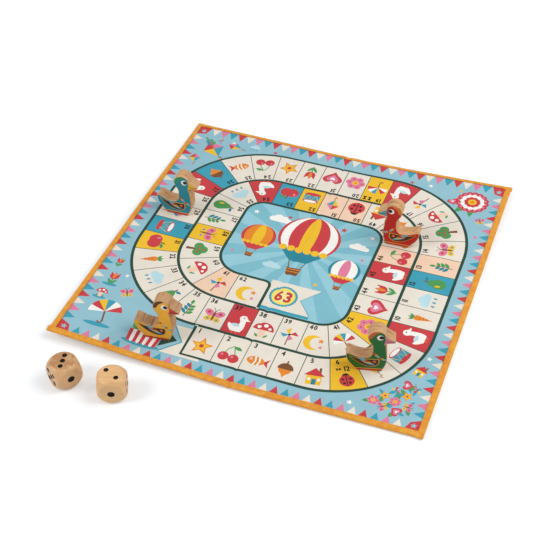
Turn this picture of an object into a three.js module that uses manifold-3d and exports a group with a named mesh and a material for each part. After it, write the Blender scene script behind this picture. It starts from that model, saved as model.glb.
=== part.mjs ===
// Game of the goose set: a folding cloth board with a bound edge, four goose pawns and two dice.
// Millimetres, +Z up. The origin lies on the table under the middle of the fold,
// +X runs to the right-hand edge of the board and +Y to its far edge.
import * as THREE from "three";
import { mergeVertices } from "three/addons/utils/BufferGeometryUtils.js";
import Module from "manifold-3d";

const wasm = await Module();
wasm.setup();

// Board: the cloth, its folded binding and the fold down the middle
const MAT_SIDE = 420;
const CLOTH_THICKNESS = 1.0;
const BINDING_WIDTH = 6.6;
const TAPE_THICKNESS = 0.8;
const BINDING_NOSE = 0.9;
const SET_DOWN_WIDTH = 10;
const FOLD_GAP = 0.3;
const LEFT_LIFT_DEG = 1.7;

// Clearances
const FIT_GAP = 0.3;
const MITRE_GAP = 0.3;
const REST_GAP = 0.3;

// Goose pawns: a thick flat goose, sawn from board and eased along its edges
const PAWN_THICKNESS = 15;
const PAWN_HEIGHT = 59;
const PAWN_EDGE_EASE = 0.8;
const BASE_LENGTH = 26;
const HEAD_RADIUS = 9.8;
const HEAD_FORWARD = 6.6;
const BEAK_LENGTH = 9.3;
const BEAK_DEPTH = 10.2;
const BEAK_TIP_RADIUS = 1.6;
const NECK_WIDTH = 14.6;
const NECK_FORWARD = 9.6;
const BREAST_FORWARD = 18;
const BREAST_HEIGHT = 19;
const BACK_HEIGHT = 19.5;
const BACK_MIDDLE = 5.5;
const TAIL_BACK = 25.2;
const TAIL_HEIGHT = 25;
const TAIL_TIP_RADIUS = 2.4;
const NAPE_ANGLE_DEG = 201.6;

// Dice: a cube turned down to a ball at its edges and corners, with drilled pips
const DIE_EDGE = 30;
const DIE_BALL = 39.3;
const PIP_RADIUS = 2.6;
const SINGLE_PIP_RADIUS = 3.8;
const PIP_DEPTH = 0.9;
const PIP_SPACING = 5.45;

// Where the loose pieces stand: the middle of each one in from the side edge of the board and
// from its near edge. Pawns stand in the plane of their half, dice on the table in front.
const PAWN_PLACES = {
  goose_pawn_teal: { half: "left", fromSide: 50, fromNear: 241.7, turnDeg: 4, colour: 0x1f7f8c },
  goose_pawn_yellow: { half: "left", fromSide: 113, fromNear: 42.2, turnDeg: 8, colour: 0xdfa025 },
  goose_pawn_red: { half: "right", fromSide: 105.8, fromNear: 280.7, turnDeg: 183, colour: 0xb3201f },
  goose_pawn_green: { half: "right", fromSide: 80, fromNear: 78.2, turnDeg: 15, colour: 0x1f5a24 },
};
const DICE_PLACES = {
  die_left: { fromSide: 47, beyondNear: 49.3, turnDeg: -34, rollDeg: 0 },
  die_right: { fromSide: 102, beyondNear: 48.8, turnDeg: 291, rollDeg: 90 },
};

// How finely the round stretches are divided
const OUTLINE_SEGMENTS = 8;
const PIP_SIDES = 14;
const BALL_SEGMENTS = 40;
const BALL_RINGS = 24;

// Heights and lines that several pieces share
const HALF_SIDE = MAT_SIDE / 2;
const SLOT_HEIGHT = CLOTH_THICKNESS + 2 * FIT_GAP;
const BINDING_HEIGHT = 2 * TAPE_THICKNESS + SLOT_HEIGHT;
const CLOTH_RISE = TAPE_THICKNESS + FIT_GAP;
const CLOTH_EDGE = HALF_SIDE - TAPE_THICKNESS - FIT_GAP;
const SEAT_EDGE = HALF_SIDE - BINDING_WIDTH - FIT_GAP;
const FIELD_EDGE = SEAT_EDGE - SET_DOWN_WIDTH;
const FOLD_EDGE = FOLD_GAP / 2;
const FOLD_AXIS_HEIGHT = BINDING_HEIGHT;

// Finishes
function finish(colour, roughness) {
  return new THREE.MeshStandardMaterial({ color: colour, roughness, metalness: 0 });
}
const CLOTH = finish(0x88bbcb, 0.9);
const TAPE = finish(0xe0982f, 0.85);
const BEECH = finish(0xd9ab74, 0.55);

function named(name, geometry, material) {
  const mesh = new THREE.Mesh(geometry, material);
  mesh.name = name;
  return mesh;
}

function meshFromLists(points, triangles) {
  const geometry = new THREE.BufferGeometry();
  geometry.setAttribute("position", new THREE.Float32BufferAttribute(points.flat(), 3));
  geometry.setIndex(triangles.flat());
  return geometry;
}

function welded(geometry) {
  const bare = geometry.clone();
  bare.deleteAttribute("normal");
  bare.deleteAttribute("uv");
  return mergeVertices(bare, 1e-4);
}

function toSolid(geometry) {
  const bare = welded(geometry);
  const vertProperties = new Float32Array(bare.attributes.position.array);
  const triVerts = new Uint32Array(bare.index.array);
  return new wasm.Manifold(new wasm.Mesh({ numProp: 3, vertProperties, triVerts }));
}

function fromSolid(solid) {
  const { vertProperties, triVerts } = solid.getMesh();
  const geometry = new THREE.BufferGeometry();
  geometry.setAttribute("position", new THREE.Float32BufferAttribute(vertProperties, 3));
  geometry.setIndex(new THREE.Uint32BufferAttribute(triVerts, 1));
  return geometry;
}

// One half of the cloth: flat on the table, rising at its bound edges into the slot of the binding
function clothHalf() {
  const xs = [FOLD_EDGE, FIELD_EDGE, SEAT_EDGE, CLOTH_EDGE];
  const ys = [-CLOTH_EDGE, -SEAT_EDGE, -FIELD_EDGE, FIELD_EDGE, SEAT_EDGE, CLOTH_EDGE];
  const points = [];
  for (const lift of [0, CLOTH_THICKNESS]) {
    for (const x of xs) {
      for (const y of ys) {
        const bound = x >= SEAT_EDGE || Math.abs(y) >= SEAT_EDGE;
        points.push([x, y, lift + (bound ? CLOTH_RISE : 0)]);
      }
    }
  }
  const layer = xs.length * ys.length;
  const at = (ix, iy, top) => (top ? layer : 0) + ix * ys.length + iy;
  const triangles = [];
  const quad = (a, b, c, d) => triangles.push([a, b, c], [a, c, d]);
  for (let ix = 0; ix + 1 < xs.length; ix++) {
    for (let iy = 0; iy + 1 < ys.length; iy++) {
      quad(at(ix, iy, 1), at(ix + 1, iy, 1), at(ix + 1, iy + 1, 1), at(ix, iy + 1, 1));
      quad(at(ix, iy, 0), at(ix, iy + 1, 0), at(ix + 1, iy + 1, 0), at(ix + 1, iy, 0));
    }
  }
  const lastX = xs.length - 1;
  const lastY = ys.length - 1;
  for (let ix = 0; ix < lastX; ix++) {
    quad(at(ix, 0, 0), at(ix + 1, 0, 0), at(ix + 1, 0, 1), at(ix, 0, 1));
    quad(at(ix + 1, lastY, 0), at(ix, lastY, 0), at(ix, lastY, 1), at(ix + 1, lastY, 1));
  }
  for (let iy = 0; iy < lastY; iy++) {
    quad(at(0, iy + 1, 0), at(0, iy, 0), at(0, iy, 1), at(0, iy + 1, 1));
    quad(at(lastX, iy, 0), at(lastX, iy + 1, 0), at(lastX, iy + 1, 1), at(lastX, iy, 1));
  }
  return meshFromLists(points, triangles);
}

// Section of the folded binding: inward distance from the outer edge, height above the table
function bindingSection() {
  const top = BINDING_HEIGHT;
  const slotTop = top - TAPE_THICKNESS;
  return [
    [BINDING_NOSE, 0],
    [BINDING_WIDTH, 0],
    [BINDING_WIDTH, TAPE_THICKNESS],
    [TAPE_THICKNESS, TAPE_THICKNESS],
    [TAPE_THICKNESS, slotTop],
    [BINDING_WIDTH, slotTop],
    [BINDING_WIDTH, top],
    [BINDING_NOSE, top],
    [0, top - BINDING_NOSE],
    [0, BINDING_NOSE],
  ].map(([inward, height]) => new THREE.Vector2(inward, height));
}

// A straight length of binding along the right-hand edge. Each end is a function of the inward
// distance, so that a mitred end slopes and a square end does not.
function bindingLength(lowEnd, highEnd) {
  const section = bindingSection();
  const count = section.length;
  const points = [];
  for (const end of [lowEnd, highEnd]) {
    for (const { x: inward, y: height } of section) {
      points.push([HALF_SIDE - inward, end(inward), height]);
    }
  }
  const triangles = [];
  for (const [a, b, c] of THREE.ShapeUtils.triangulateShape(section, [])) {
    triangles.push([a, c, b], [count + a, count + b, count + c]);
  }
  for (let i = 0; i < count; i++) {
    const next = (i + 1) % count;
    triangles.push([i, next, count + next], [i, count + next, count + i]);
  }
  return meshFromLists(points, triangles);
}

const mitreEnd = (inward) => HALF_SIDE - inward - MITRE_GAP / 2;
const squareEnd = () => FOLD_EDGE;

function sideBinding() {
  return bindingLength((inward) => -mitreEnd(inward), mitreEnd);
}

function farBinding() {
  const length = bindingLength((inward) => -mitreEnd(inward), () => -squareEnd());
  return length.rotateZ(Math.PI / 2);
}

function nearBinding() {
  const length = bindingLength(squareEnd, mitreEnd);
  return length.rotateZ(-Math.PI / 2);
}

// A half of the board in its own plane, drawn as the right half. Half a turn makes it the left one.
function boardHalf(side) {
  const half = new THREE.Group();
  const isRight = side === "right";
  half.rotation.z = isRight ? 0 : Math.PI;
  half.add(named(`mat_${side}_half`, clothHalf(), CLOTH));
  half.add(named(`binding_${side}`, sideBinding(), TAPE));
  half.add(named(isRight ? "binding_far_right" : "binding_near_left", farBinding(), TAPE));
  half.add(named(isRight ? "binding_near_right" : "binding_far_left", nearBinding(), TAPE));
  return half;
}

// Side outline of the goose, facing +X, standing on the X axis with its base about the origin
function gooseOutline() {
  const headUp = PAWN_HEIGHT - HEAD_RADIUS;
  const headFront = HEAD_FORWARD + HEAD_RADIUS;
  const throatUp = headUp - BEAK_DEPTH / 2 - 2 * BEAK_TIP_RADIUS;
  const neckFront = NECK_FORWARD + NECK_WIDTH / 2;
  const neckBack = NECK_FORWARD - NECK_WIDTH / 2;
  const neckUp = (BREAST_HEIGHT + headUp) / 2;
  const beakTip = headFront + BEAK_LENGTH;
  const beakRootUp = headUp + BEAK_DEPTH / 5;
  const rootAngle = Math.asin((beakRootUp - headUp) / HEAD_RADIUS);
  const napeAngle = THREE.MathUtils.degToRad(NAPE_ANGLE_DEG);
  const napeForward = HEAD_FORWARD + HEAD_RADIUS * Math.cos(napeAngle);
  const napeUp = headUp + HEAD_RADIUS * Math.sin(napeAngle);
  const tailForward = -TAIL_BACK + TAIL_TIP_RADIUS;
  const tailUp = TAIL_HEIGHT - TAIL_TIP_RADIUS;
  const beakDrop = headUp - BEAK_DEPTH / 2;
  const outline = new THREE.Shape();
  outline.moveTo(-BASE_LENGTH / 2, 0);
  outline.lineTo(BASE_LENGTH / 2, 0);
  outline.bezierCurveTo(
    BASE_LENGTH / 2 + (BREAST_FORWARD - BASE_LENGTH / 2) / 2, BREAST_HEIGHT / 4,
    BREAST_FORWARD, BREAST_HEIGHT / 2,
    BREAST_FORWARD, BREAST_HEIGHT,
  );
  outline.bezierCurveTo(
    BREAST_FORWARD, (BREAST_HEIGHT + neckUp) / 2,
    neckFront, (BREAST_HEIGHT + neckUp) / 2,
    neckFront, neckUp,
  );
  outline.lineTo(headFront - BEAK_TIP_RADIUS, throatUp);
  outline.lineTo(beakTip - BEAK_TIP_RADIUS, beakDrop - BEAK_TIP_RADIUS);
  outline.absarc(beakTip - BEAK_TIP_RADIUS, beakDrop, BEAK_TIP_RADIUS, -Math.PI / 2, Math.PI / 3, false);
  outline.absarc(HEAD_FORWARD, headUp, HEAD_RADIUS, rootAngle, napeAngle, false);
  outline.bezierCurveTo(
    napeForward + HEAD_RADIUS / 6, napeUp - HEAD_RADIUS / 2,
    neckBack, (napeUp + neckUp) / 2,
    neckBack, neckUp,
  );
  outline.bezierCurveTo(
    neckBack, (neckUp + BACK_HEIGHT) / 2,
    neckBack, BACK_HEIGHT,
    -BACK_MIDDLE, BACK_HEIGHT,
  );
  outline.bezierCurveTo(
    (tailForward - BACK_MIDDLE) / 2, BACK_HEIGHT,
    tailForward + TAIL_TIP_RADIUS, TAIL_HEIGHT,
    tailForward, TAIL_HEIGHT,
  );
  outline.absarc(tailForward, tailUp, TAIL_TIP_RADIUS, Math.PI / 2, Math.PI, false);
  outline.bezierCurveTo(
    -TAIL_BACK, tailUp / 2,
    -BASE_LENGTH / 2 - TAIL_TIP_RADIUS, tailUp / 4,
    -BASE_LENGTH / 2, 0,
  );
  return outline;
}

function goosePawn(name, place) {
  const depth = PAWN_THICKNESS - 2 * PAWN_EDGE_EASE;
  const body = new THREE.ExtrudeGeometry(gooseOutline(), {
    depth,
    curveSegments: OUTLINE_SEGMENTS,
    bevelEnabled: true,
    bevelThickness: PAWN_EDGE_EASE,
    bevelSize: PAWN_EDGE_EASE,
    bevelOffset: -PAWN_EDGE_EASE,
    bevelSegments: 1,
  });
  body.translate(0, 0, -depth / 2);
  body.rotateX(Math.PI / 2);
  const pawn = named(name, welded(body), finish(place.colour, 0.5));
  const inward = HALF_SIDE - place.fromSide;
  const across = place.half === "left" ? -inward : inward;
  pawn.position.set(across, place.fromNear - HALF_SIDE, CLOTH_THICKNESS + REST_GAP);
  pawn.rotation.z = THREE.MathUtils.degToRad(place.turnDeg);
  return pawn;
}

// Pips of a face: across and up, in steps of the pip spacing
const CORNER_PIPS = [[-1, -1], [-1, 1], [1, -1], [1, 1]];
const X = new THREE.Vector3(1, 0, 0);
const Y = new THREE.Vector3(0, 1, 0);
const Z = new THREE.Vector3(0, 0, 1);
const DIE_FACES = [
  { out: X, across: Y, up: Z, pips: [[0, 0]] },
  { out: Y, across: X, up: Z, pips: [[1, -1], [-1, 1]] },
  { out: Z, across: X, up: Y, pips: [[-1, 1], [0, 0], [1, -1]] },
  { out: Z.clone().negate(), across: X, up: Y, pips: CORNER_PIPS },
  { out: Y.clone().negate(), across: X, up: Z, pips: [...CORNER_PIPS, [0, 0]] },
  { out: X.clone().negate(), across: Y, up: Z, pips: [...CORNER_PIPS, [-1, 0], [1, 0]] },
];

// The drill that leaves a round hole of the given radius and of the pip depth in a flat face
function pipDrill(face, [across, up], radius) {
  const length = 2 * PIP_DEPTH;
  const drill = new THREE.CylinderGeometry(radius, radius, length, PIP_SIDES);
  drill.applyQuaternion(new THREE.Quaternion().setFromUnitVectors(Y, face.out));
  const centre = face.out.clone().multiplyScalar(DIE_EDGE / 2);
  centre.addScaledVector(face.across, across * PIP_SPACING);
  centre.addScaledVector(face.up, up * PIP_SPACING);
  drill.translate(centre.x, centre.y, centre.z);
  return toSolid(drill);
}

function dieGeometry() {
  const cube = toSolid(new THREE.BoxGeometry(DIE_EDGE, DIE_EDGE, DIE_EDGE));
  const ball = toSolid(new THREE.SphereGeometry(DIE_BALL / 2, BALL_SEGMENTS, BALL_RINGS));
  let die = cube.intersect(ball);
  for (const face of DIE_FACES) {
    const radius = face.pips.length === 1 ? SINGLE_PIP_RADIUS : PIP_RADIUS;
    for (const pip of face.pips) {
      die = die.subtract(pipDrill(face, pip, radius));
    }
  }
  return fromSolid(die);
}

function die(name, place) {
  const stand = new THREE.Group();
  stand.position.set(place.fromSide - HALF_SIDE, -HALF_SIDE - place.beyondNear, DIE_EDGE / 2);
  stand.rotation.z = THREE.MathUtils.degToRad(place.turnDeg);
  const cube = named(name, dieGeometry(), BEECH);
  cube.rotation.x = THREE.MathUtils.degToRad(place.rollDeg);
  stand.add(cube);
  return stand;
}

// The left half leans up about the fold, with the pawns that stand on it
const rightHalf = new THREE.Group();
rightHalf.add(boardHalf("right"));
const leftHalf = new THREE.Group();
leftHalf.add(boardHalf("left"));
leftHalf.position.z = -FOLD_AXIS_HEIGHT;
const leftLean = new THREE.Group();
leftLean.add(leftHalf);
leftLean.position.z = FOLD_AXIS_HEIGHT;
leftLean.rotation.y = THREE.MathUtils.degToRad(LEFT_LIFT_DEG);

for (const [name, place] of Object.entries(PAWN_PLACES)) {
  const half = place.half === "left" ? leftHalf : rightHalf;
  half.add(goosePawn(name, place));
}

const set = new THREE.Group();
set.add(rightHalf, leftLean);
for (const [name, place] of Object.entries(DICE_PLACES)) {
  set.add(die(name, place));
}

export default set;
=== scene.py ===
"""Looks of the game of the goose set: a printed cloth board with a bound edge, four goose pawns, two dice.

Sizes are in millimetres and turn into metres where a mesh is made. Small pictures are drawn in hundredths of
their size.
"""

import math

import bpy
import numpy as np
from mathutils import Matrix, Vector
from mathutils.geometry import delaunay_2d_cdt

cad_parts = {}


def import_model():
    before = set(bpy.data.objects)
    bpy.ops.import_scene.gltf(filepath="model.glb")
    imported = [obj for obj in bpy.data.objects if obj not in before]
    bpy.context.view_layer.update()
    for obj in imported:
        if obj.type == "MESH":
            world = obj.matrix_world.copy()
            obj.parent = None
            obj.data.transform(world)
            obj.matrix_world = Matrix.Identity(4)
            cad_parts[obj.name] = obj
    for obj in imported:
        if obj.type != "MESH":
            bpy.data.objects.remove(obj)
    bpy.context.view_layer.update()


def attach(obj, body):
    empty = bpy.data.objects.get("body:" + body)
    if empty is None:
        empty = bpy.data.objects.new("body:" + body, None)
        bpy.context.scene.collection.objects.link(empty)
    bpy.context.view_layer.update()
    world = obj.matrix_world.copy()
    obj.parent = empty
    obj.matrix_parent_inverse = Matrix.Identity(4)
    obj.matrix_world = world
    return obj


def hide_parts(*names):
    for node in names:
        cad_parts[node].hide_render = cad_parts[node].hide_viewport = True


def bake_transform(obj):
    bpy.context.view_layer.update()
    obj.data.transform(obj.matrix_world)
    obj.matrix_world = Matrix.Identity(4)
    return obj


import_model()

MM = 0.001
SIDES = (-1, 1)

# Board, as in the CAD model
HALF_SIDE = 210.0
CLOTH_THICKNESS = 1.0
BINDING_WIDTH = 6.6
BINDING_HEIGHT = 3.2
TAPE_THICKNESS = 0.8
CLOTH_EDGE = 208.9
CLOTH_RISE = 1.1
SEAT_EDGE = 203.1
FIELD_EDGE = 193.1
FOLD_AXIS_HEIGHT = 3.2
LEFT_LEAN = 1.7
FOLD_HALF_WIDTH = 6.0
PRINT_EDGE = HALF_SIDE - BINDING_WIDTH

# How the cloth lies: lifts above its two flat halves, and the slip of its edges towards the front at the fold
UNDER_PAWN_LIFT = 0.25
FOLD_BULGE, FOLD_BULGE_REACH = 0.5, 45.0
CREASE_BULGE, CREASE_REACH = 1.0, 5.5
CROSS_FOLD_RIDGE, CROSS_FOLD_REACH = 0.55, 4.5
CROSS_FOLD_START, CROSS_FOLD_FULL = 10.0, 60.0
FAR_FOLD_SLIP, NEAR_FOLD_SLIP, FOLD_SLIP_START = 4.4, 2.8, 172.0
WAVE_HEIGHT = 0.18
WAVES_ACROSS, WAVES_ALONG = (23, 1.3, 41), (31, 1.1, 37)
PAWN_CLEAR_RADIUS, PAWN_FREE_RADIUS = 20.0, 62.0

# Lifts of the four corners, and the share of a side's length at which each one starts
FAR_RIGHT_LIFT, FAR_RIGHT_START = 5.0, 0.45
NEAR_RIGHT_LIFT, NEAR_RIGHT_START = 0.3, 0.6
NEAR_LEFT_LIFT, FAR_LEFT_DROP, LEFT_START = 3.5, 6.0, 0.5
RIGHT_LIFT_POWER, LEFT_LIFT_POWER = 1.6, 1.2

# The binding as sewn: width of its top on the right, far, left and near sides, how far the folded end of the
# tape stands out where each of these sides ends, and the shape of that end
TAPE_WIDTHS = (7.0, 5.2, 6.6, 7.2)
CORNER_EARS = (1.5, 0.6, 2.7, 1.2)
CORNER_EAR_AT_TIP = 0.5
CORNER_EAR_LENGTH = 6.6
CORNER_EAR_SLOPE = 1.2
WIDTH_CHANGE_LENGTH = 12.0
TAPE_EASE = 0.3
TAPE_PUCKER = 0.07
SHORT_PUCKER, LONG_PUCKER = 2.6, 17.0
MITRE_SINK = 0.35

# Stitching of the binding. The profile gives the share of a stitch's length and of its radius
STITCH_INSET = 5.3
STITCH_PITCH = 3.2
STITCH_LENGTH = 2.5
STITCH_RADIUS = 0.24
STITCH_DENT = 0.2
STITCH_STAND = 0.6 * STITCH_RADIUS + 0.05
STITCH_SAG = 0.45
STITCH_END_GAP = 1.5
STITCH_SIDES = 6
STITCH_PROFILE = [(-0.5, 0.35), (-0.42, 0.8), (-0.2, 1.0), (0.2, 1.0), (0.42, 0.8), (0.5, 0.35)]

# Pawns, as in the CAD model
PAWN_THICKNESS = 15.0
PAWN_HEIGHT = 59.0
PAWN_EDGE_EASE = 0.8
PAWN_REST = 1.3
BASE_LENGTH = 26.0
HEAD_RADIUS = 9.8
HEAD_FORWARD = 6.6
BEAK_LENGTH = 9.3
BEAK_DEPTH = 10.2
BEAK_TIP_RADIUS = 1.6
NECK_WIDTH = 14.6
NECK_FORWARD = 9.6
BREAST_FORWARD = 18.0
BREAST_HEIGHT = 19.0
BACK_HEIGHT = 19.5
BACK_MIDDLE = 5.5
TAIL_BACK = 25.2
TAIL_HEIGHT = 25.0
TAIL_TIP_RADIUS = 2.4
NAPE_ANGLE = 201.6

# Streaks of the pawns' bare edges, along the grain or across it, as waves per metre in x, y and z
ALONG_GRAIN = (55, 300, 170)
ACROSS_GRAIN = (430, 45, 430)

# Pawns: middle of the base in the plane of the half and turn, then the colours of the print, then the
# brightness of the wood, its place in the pattern and its streaks
PAWN_KEYS = ("x", "y", "turn", "body", "beak", "cap", "gain", "shift", "grain")
PAWNS = {
    "teal": (-160, 31.7, 4, "#23899a", "#e8b52f", "#2f8f57", 1.0, 0, ALONG_GRAIN),
    "yellow": (-97, -167.8, 8, "#f0b034", "#c63a2c", "#5d3a1e", 0.86, 1, ACROSS_GRAIN),
    "red": (104.2, 70.7, 183, "#c2231e", "#5f9aa3", "#d9742a", 1.05, 2, ALONG_GRAIN),
    "green": (130, -131.8, 15, "#226a2b", "#d4808c", "#c25a2a", 0.95, 3, ALONG_GRAIN),
}
PAWNS = {name: dict(zip(PAWN_KEYS, values)) for name, values in PAWNS.items()}
PAWN_PRINT = {
    "wing": "#4a2a1e", "white": "#f2efe8", "dark": "#1b1a18",
    "gold": "#e2aa34", "trim": "#c2402c", "sky": "#5fb3c8",
}

# Dice, as in the CAD model, and the drill of a pip as share of its radius and height above the face
DIE_EDGE = 30.0
DIE_BALL = 39.3
DIE_BLEND = 64.0
DIE_GRID = 56
PIP_RADIUS = 2.6
SINGLE_PIP_RADIUS = 3.8
PIP_DEPTH = 0.9
PIP_SPACING = 5.45
DRILL_SIDES = 28
DRILL_PROFILE = [(1.03, 0.6), (1.03, 0.02), (1.0, -0.12), (0.94, -0.7 * PIP_DEPTH), (0.6, -0.95 * PIP_DEPTH)]
DIE_GRAIN = (170, 170, 40)
DICE = {
    "die_left": dict(x=-163, y=-259.3, turn=-34, roll=0, light="#ddaf7b", dark="#b6845b"),
    "die_right": dict(x=-108, y=-258.8, turn=291, roll=90, light="#ebbb84", dark="#d9a46d"),
}

# Colours of the print, the tape, the thread and the wood
PRINT = {
    "ground": "#94c1cf", "panel": "#7fbccb", "ray": "#96cad8", "cream": "#e9e1d3", "white": "#f7f4ee",
    "red": "#cb4146", "yellow": "#f0bf2f", "blue": "#3f9fb6", "teal": "#2c8799", "pink": "#de7f9e",
    "peach": "#f2cfb4", "line": "#2b4b40", "ink": "#26241f", "leaf": "#4f9a56", "orange": "#e6892d",
    "brown": "#7d5233", "sky": "#b9dde6", "lemon": "#f3e06e", "butter": "#f4e79c",
}
BACKING = "#e9e4da"
TAPE_COLOUR, TAPE_DARK, TAPE_LIGHT = "#df9831", "#d5832c", "#e8aa42"
THREAD_COLOUR = "#eaa843"
WOOD_LIGHT, WOOD_DARK = "#d6a574", "#9c6c43"
PIP_COLOUR = "#0a0604"

# Threads of the weaves, from one to the next
CLOTH_THREAD = 0.62
TAPE_THREAD = 0.55
THREAD_TWIST = 0.35


# Colours and materials

def linear(hex_colour, gain=1.0):
    """Linear RGBA of an sRGB hex colour."""
    parts = [int(hex_colour[i:i + 2], 16) / 255 for i in (1, 3, 5)]
    lin = [c / 12.92 if c <= 0.04045 else ((c + 0.055) / 1.055) ** 2.4 for c in parts]
    return (*[min(1.0, c * gain) for c in lin], 1.0)


class Nodes:
    """The node tree of a material or a world, with short calls to add nodes."""

    def __init__(self, owner, shader, **inputs):
        owner.use_nodes = True
        self.owner, self.tree = owner, owner.node_tree
        self.shader = self.tree.nodes[shader]
        self.put(self.shader, **inputs)

    def put(self, node, **inputs):
        """Give values or links to sockets. A name's underscores stand for spaces."""
        for key, value in inputs.items():
            self.join(value, node.inputs[key.replace("_", " ")])

    def join(self, value, socket):
        """Link an output to a socket, or set a value."""
        if isinstance(value, bpy.types.NodeSocket):
            self.tree.links.new(value, socket)
        else:
            socket.default_value = value

    def add(self, kind, settings=(), **inputs):
        node = self.tree.nodes.new("ShaderNode" + kind)
        for key, value in settings:
            setattr(node, key, value)
        self.put(node, **inputs)
        return node

    def coordinates(self, scale=(1, 1, 1), shift=0.0):
        """Object coordinates, moved by shift along each axis and then scaled."""
        source = self.add("TexCoord").outputs["Object"]
        moved_by = [shift * s for s in scale]
        return self.add("Mapping", Vector=source, Scale=scale, Location=moved_by).outputs["Vector"]

    def noise(self, vector, scale, detail=3.0, roughness=0.5):
        node = self.add("TexNoise", Vector=vector, Scale=scale, Detail=detail, Roughness=roughness)
        return node.outputs["Fac"]

    def bands(self, vector, direction, pitch, unevenness=0.0):
        """Bands that are pitch millimetres apart along one axis."""
        settings = [("wave_type", "BANDS"), ("bands_direction", direction)]
        scale = 2 * math.pi / (20 * pitch * MM)
        node = self.add("TexWave", settings, Vector=vector, Scale=scale, Distortion=unevenness, Detail=1.0)
        return node.outputs["Fac"]

    def math(self, operation, *values):
        node = self.add("Math", [("operation", operation)])
        for value, socket in zip(values, node.inputs):
            self.join(value, socket)
        return node.outputs[0]

    def mixed(self, *parts):
        """Sum of outputs, each times its weight."""
        total = self.math("MULTIPLY", *parts[0])
        for part in parts[1:]:
            total = self.math("ADD", total, self.math("MULTIPLY", *part))
        return total

    def colour(self, tone, *stops):
        """Base colour from a tone. A stop is a position, a hex colour and its gain."""
        node = self.add("ValToRGB", Fac=tone)
        elements = node.color_ramp.elements
        while len(elements) < len(stops):
            elements.new(0.5)
        for element, (position, *colour) in zip(elements, stops):
            element.position = position
            element.color = linear(*colour)
        self.put(self.shader, Base_Color=node.outputs["Color"])

    def bump(self, height, strength, distance):
        node = self.add("Bump", Height=height, Strength=strength, Distance=distance)
        self.put(self.shader, Normal=node.outputs["Normal"])


def surface(name, roughness, specular=0.3, sheen=0.0):
    """Nodes of a new material."""
    values = {"Roughness": roughness, "Specular_IOR_Level": specular, "Sheen_Weight": sheen}
    return Nodes(bpy.data.materials.new(name), "Principled BSDF", **values)


def cloth_material(name, colour):
    """Printed plain-weave cloth: a fine weave, slightly uneven ink, and painted shade that darkens the colour
    in the valleys of the weave.
    """
    nodes = surface(name, roughness=0.9, specular=0.15, sheen=0.08)
    place = nodes.coordinates()
    weave = nodes.math("MULTIPLY", *[nodes.bands(place, way, CLOTH_THREAD, unevenness=5.0) for way in "XY"])
    ink, specks = nodes.noise(place, 55.0, detail=4.0), nodes.noise(place, 1400.0, detail=2.0)
    # The weave's share in the tone is painted shade: the colour is darker in the valleys between the threads,
    # where the bump is low.
    tone = nodes.mixed((weave, 0.2), (ink, 0.48), (specks, 0.32))
    nodes.colour(tone, (0.2, colour, 0.88), (0.75, colour, 1.06))
    nodes.bump(weave, 0.35, 0.00015)
    return nodes.owner


def tape_material():
    """Woven bias tape: the weave runs slanting to the edge, with painted shade that darkens the colour
    between the threads.
    """
    nodes = surface("binding tape", roughness=0.85, specular=0.2, sheen=0.15)
    place = nodes.coordinates()
    warp = nodes.bands(place, "DIAGONAL", TAPE_THREAD * math.sqrt(3))
    # The warp's share in the tone is painted shade: the colour is darker between the threads, where the bump
    # is low.
    tone = nodes.mixed((warp, 0.2), (nodes.noise(place, 160.0, detail=4.0, roughness=0.6), 0.8))
    nodes.colour(tone, (0.32, TAPE_DARK), (0.5, TAPE_COLOUR), (0.68, TAPE_LIGHT))
    nodes.bump(warp, 0.4, 0.00015)
    return nodes.owner


def thread_material():
    nodes = surface("binding thread", roughness=0.6)
    twist = nodes.bands(nodes.coordinates(), "DIAGONAL", THREAD_TWIST)
    # Painted shade: the colour is darker in the grooves of the twist, where the bump is low.
    nodes.colour(twist, (0.2, THREAD_COLOUR, 0.8), (0.8, THREAD_COLOUR, 1.1))
    nodes.bump(twist, 0.4, 0.00008)
    return nodes.owner


def wood_material(name, light, dark, grain, roughness=0.5, gain=1.0, shift=0.0, end_shade=0.0):
    """Sanded wood: grain streaks along one axis, fine pores, and a darker end grain across the z axis."""
    nodes = surface(name, roughness=roughness, specular=0.4)
    stretched = nodes.coordinates(grain, shift)
    streaks = nodes.noise(stretched, 1.0)
    pores = nodes.noise(stretched, 3.4, detail=2.0)
    blotch = nodes.noise(nodes.coordinates(shift=shift), 60.0, detail=2.0)
    normal = nodes.add("TexCoord").outputs["Normal"]
    upright = nodes.math("ABSOLUTE", nodes.add("SeparateXYZ", Vector=normal).outputs["Z"])
    ends = nodes.math("POWER", upright, 8.0)
    tone = nodes.mixed((streaks, 0.62), (pores, 0.18), (blotch, 0.2), (ends, -end_shade))
    nodes.colour(tone, (0.34, dark, gain), (0.48, light, 0.88 * gain), (0.64, light, gain))
    nodes.bump(streaks, 0.2, 0.0002)
    return nodes.owner


def paint_material(name, colour, roughness=0.42):
    """Printed film on sanded wood: an even colour that lets a trace of the grain through."""
    nodes = surface(name, roughness=roughness, specular=0.35)
    grain = nodes.noise(nodes.coordinates((90, 90, 900)), 1.0, detail=4.0)
    tone = nodes.mixed((grain, 0.5), (nodes.noise(nodes.coordinates(), 70.0), 0.5))
    nodes.colour(tone, (0.3, colour, 0.84), (0.7, colour, 1.08))
    nodes.bump(grain, 0.1, 0.0001)
    return nodes.owner


# Flat drawing: a shape is a list of closed loops and a colour name. Later shapes cover earlier ones.

def arc(x, y, radius, start, end, count):
    angles = np.radians(np.linspace(start, end, count))
    return [(x + radius * math.cos(a), y + radius * math.sin(a)) for a in angles]


def circle(x, y, radius, count=20, start=0.0):
    return arc(x, y, radius, start, start + 360, count + 1)[:-1]


def moved(points, x, y, turn=0.0, size=1.0):
    """Points scaled, turned and moved."""
    c, s = size * math.cos(math.radians(turn)), size * math.sin(math.radians(turn))
    return [(x + u * c - v * s, y + u * s + v * c) for u, v in points]


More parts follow.
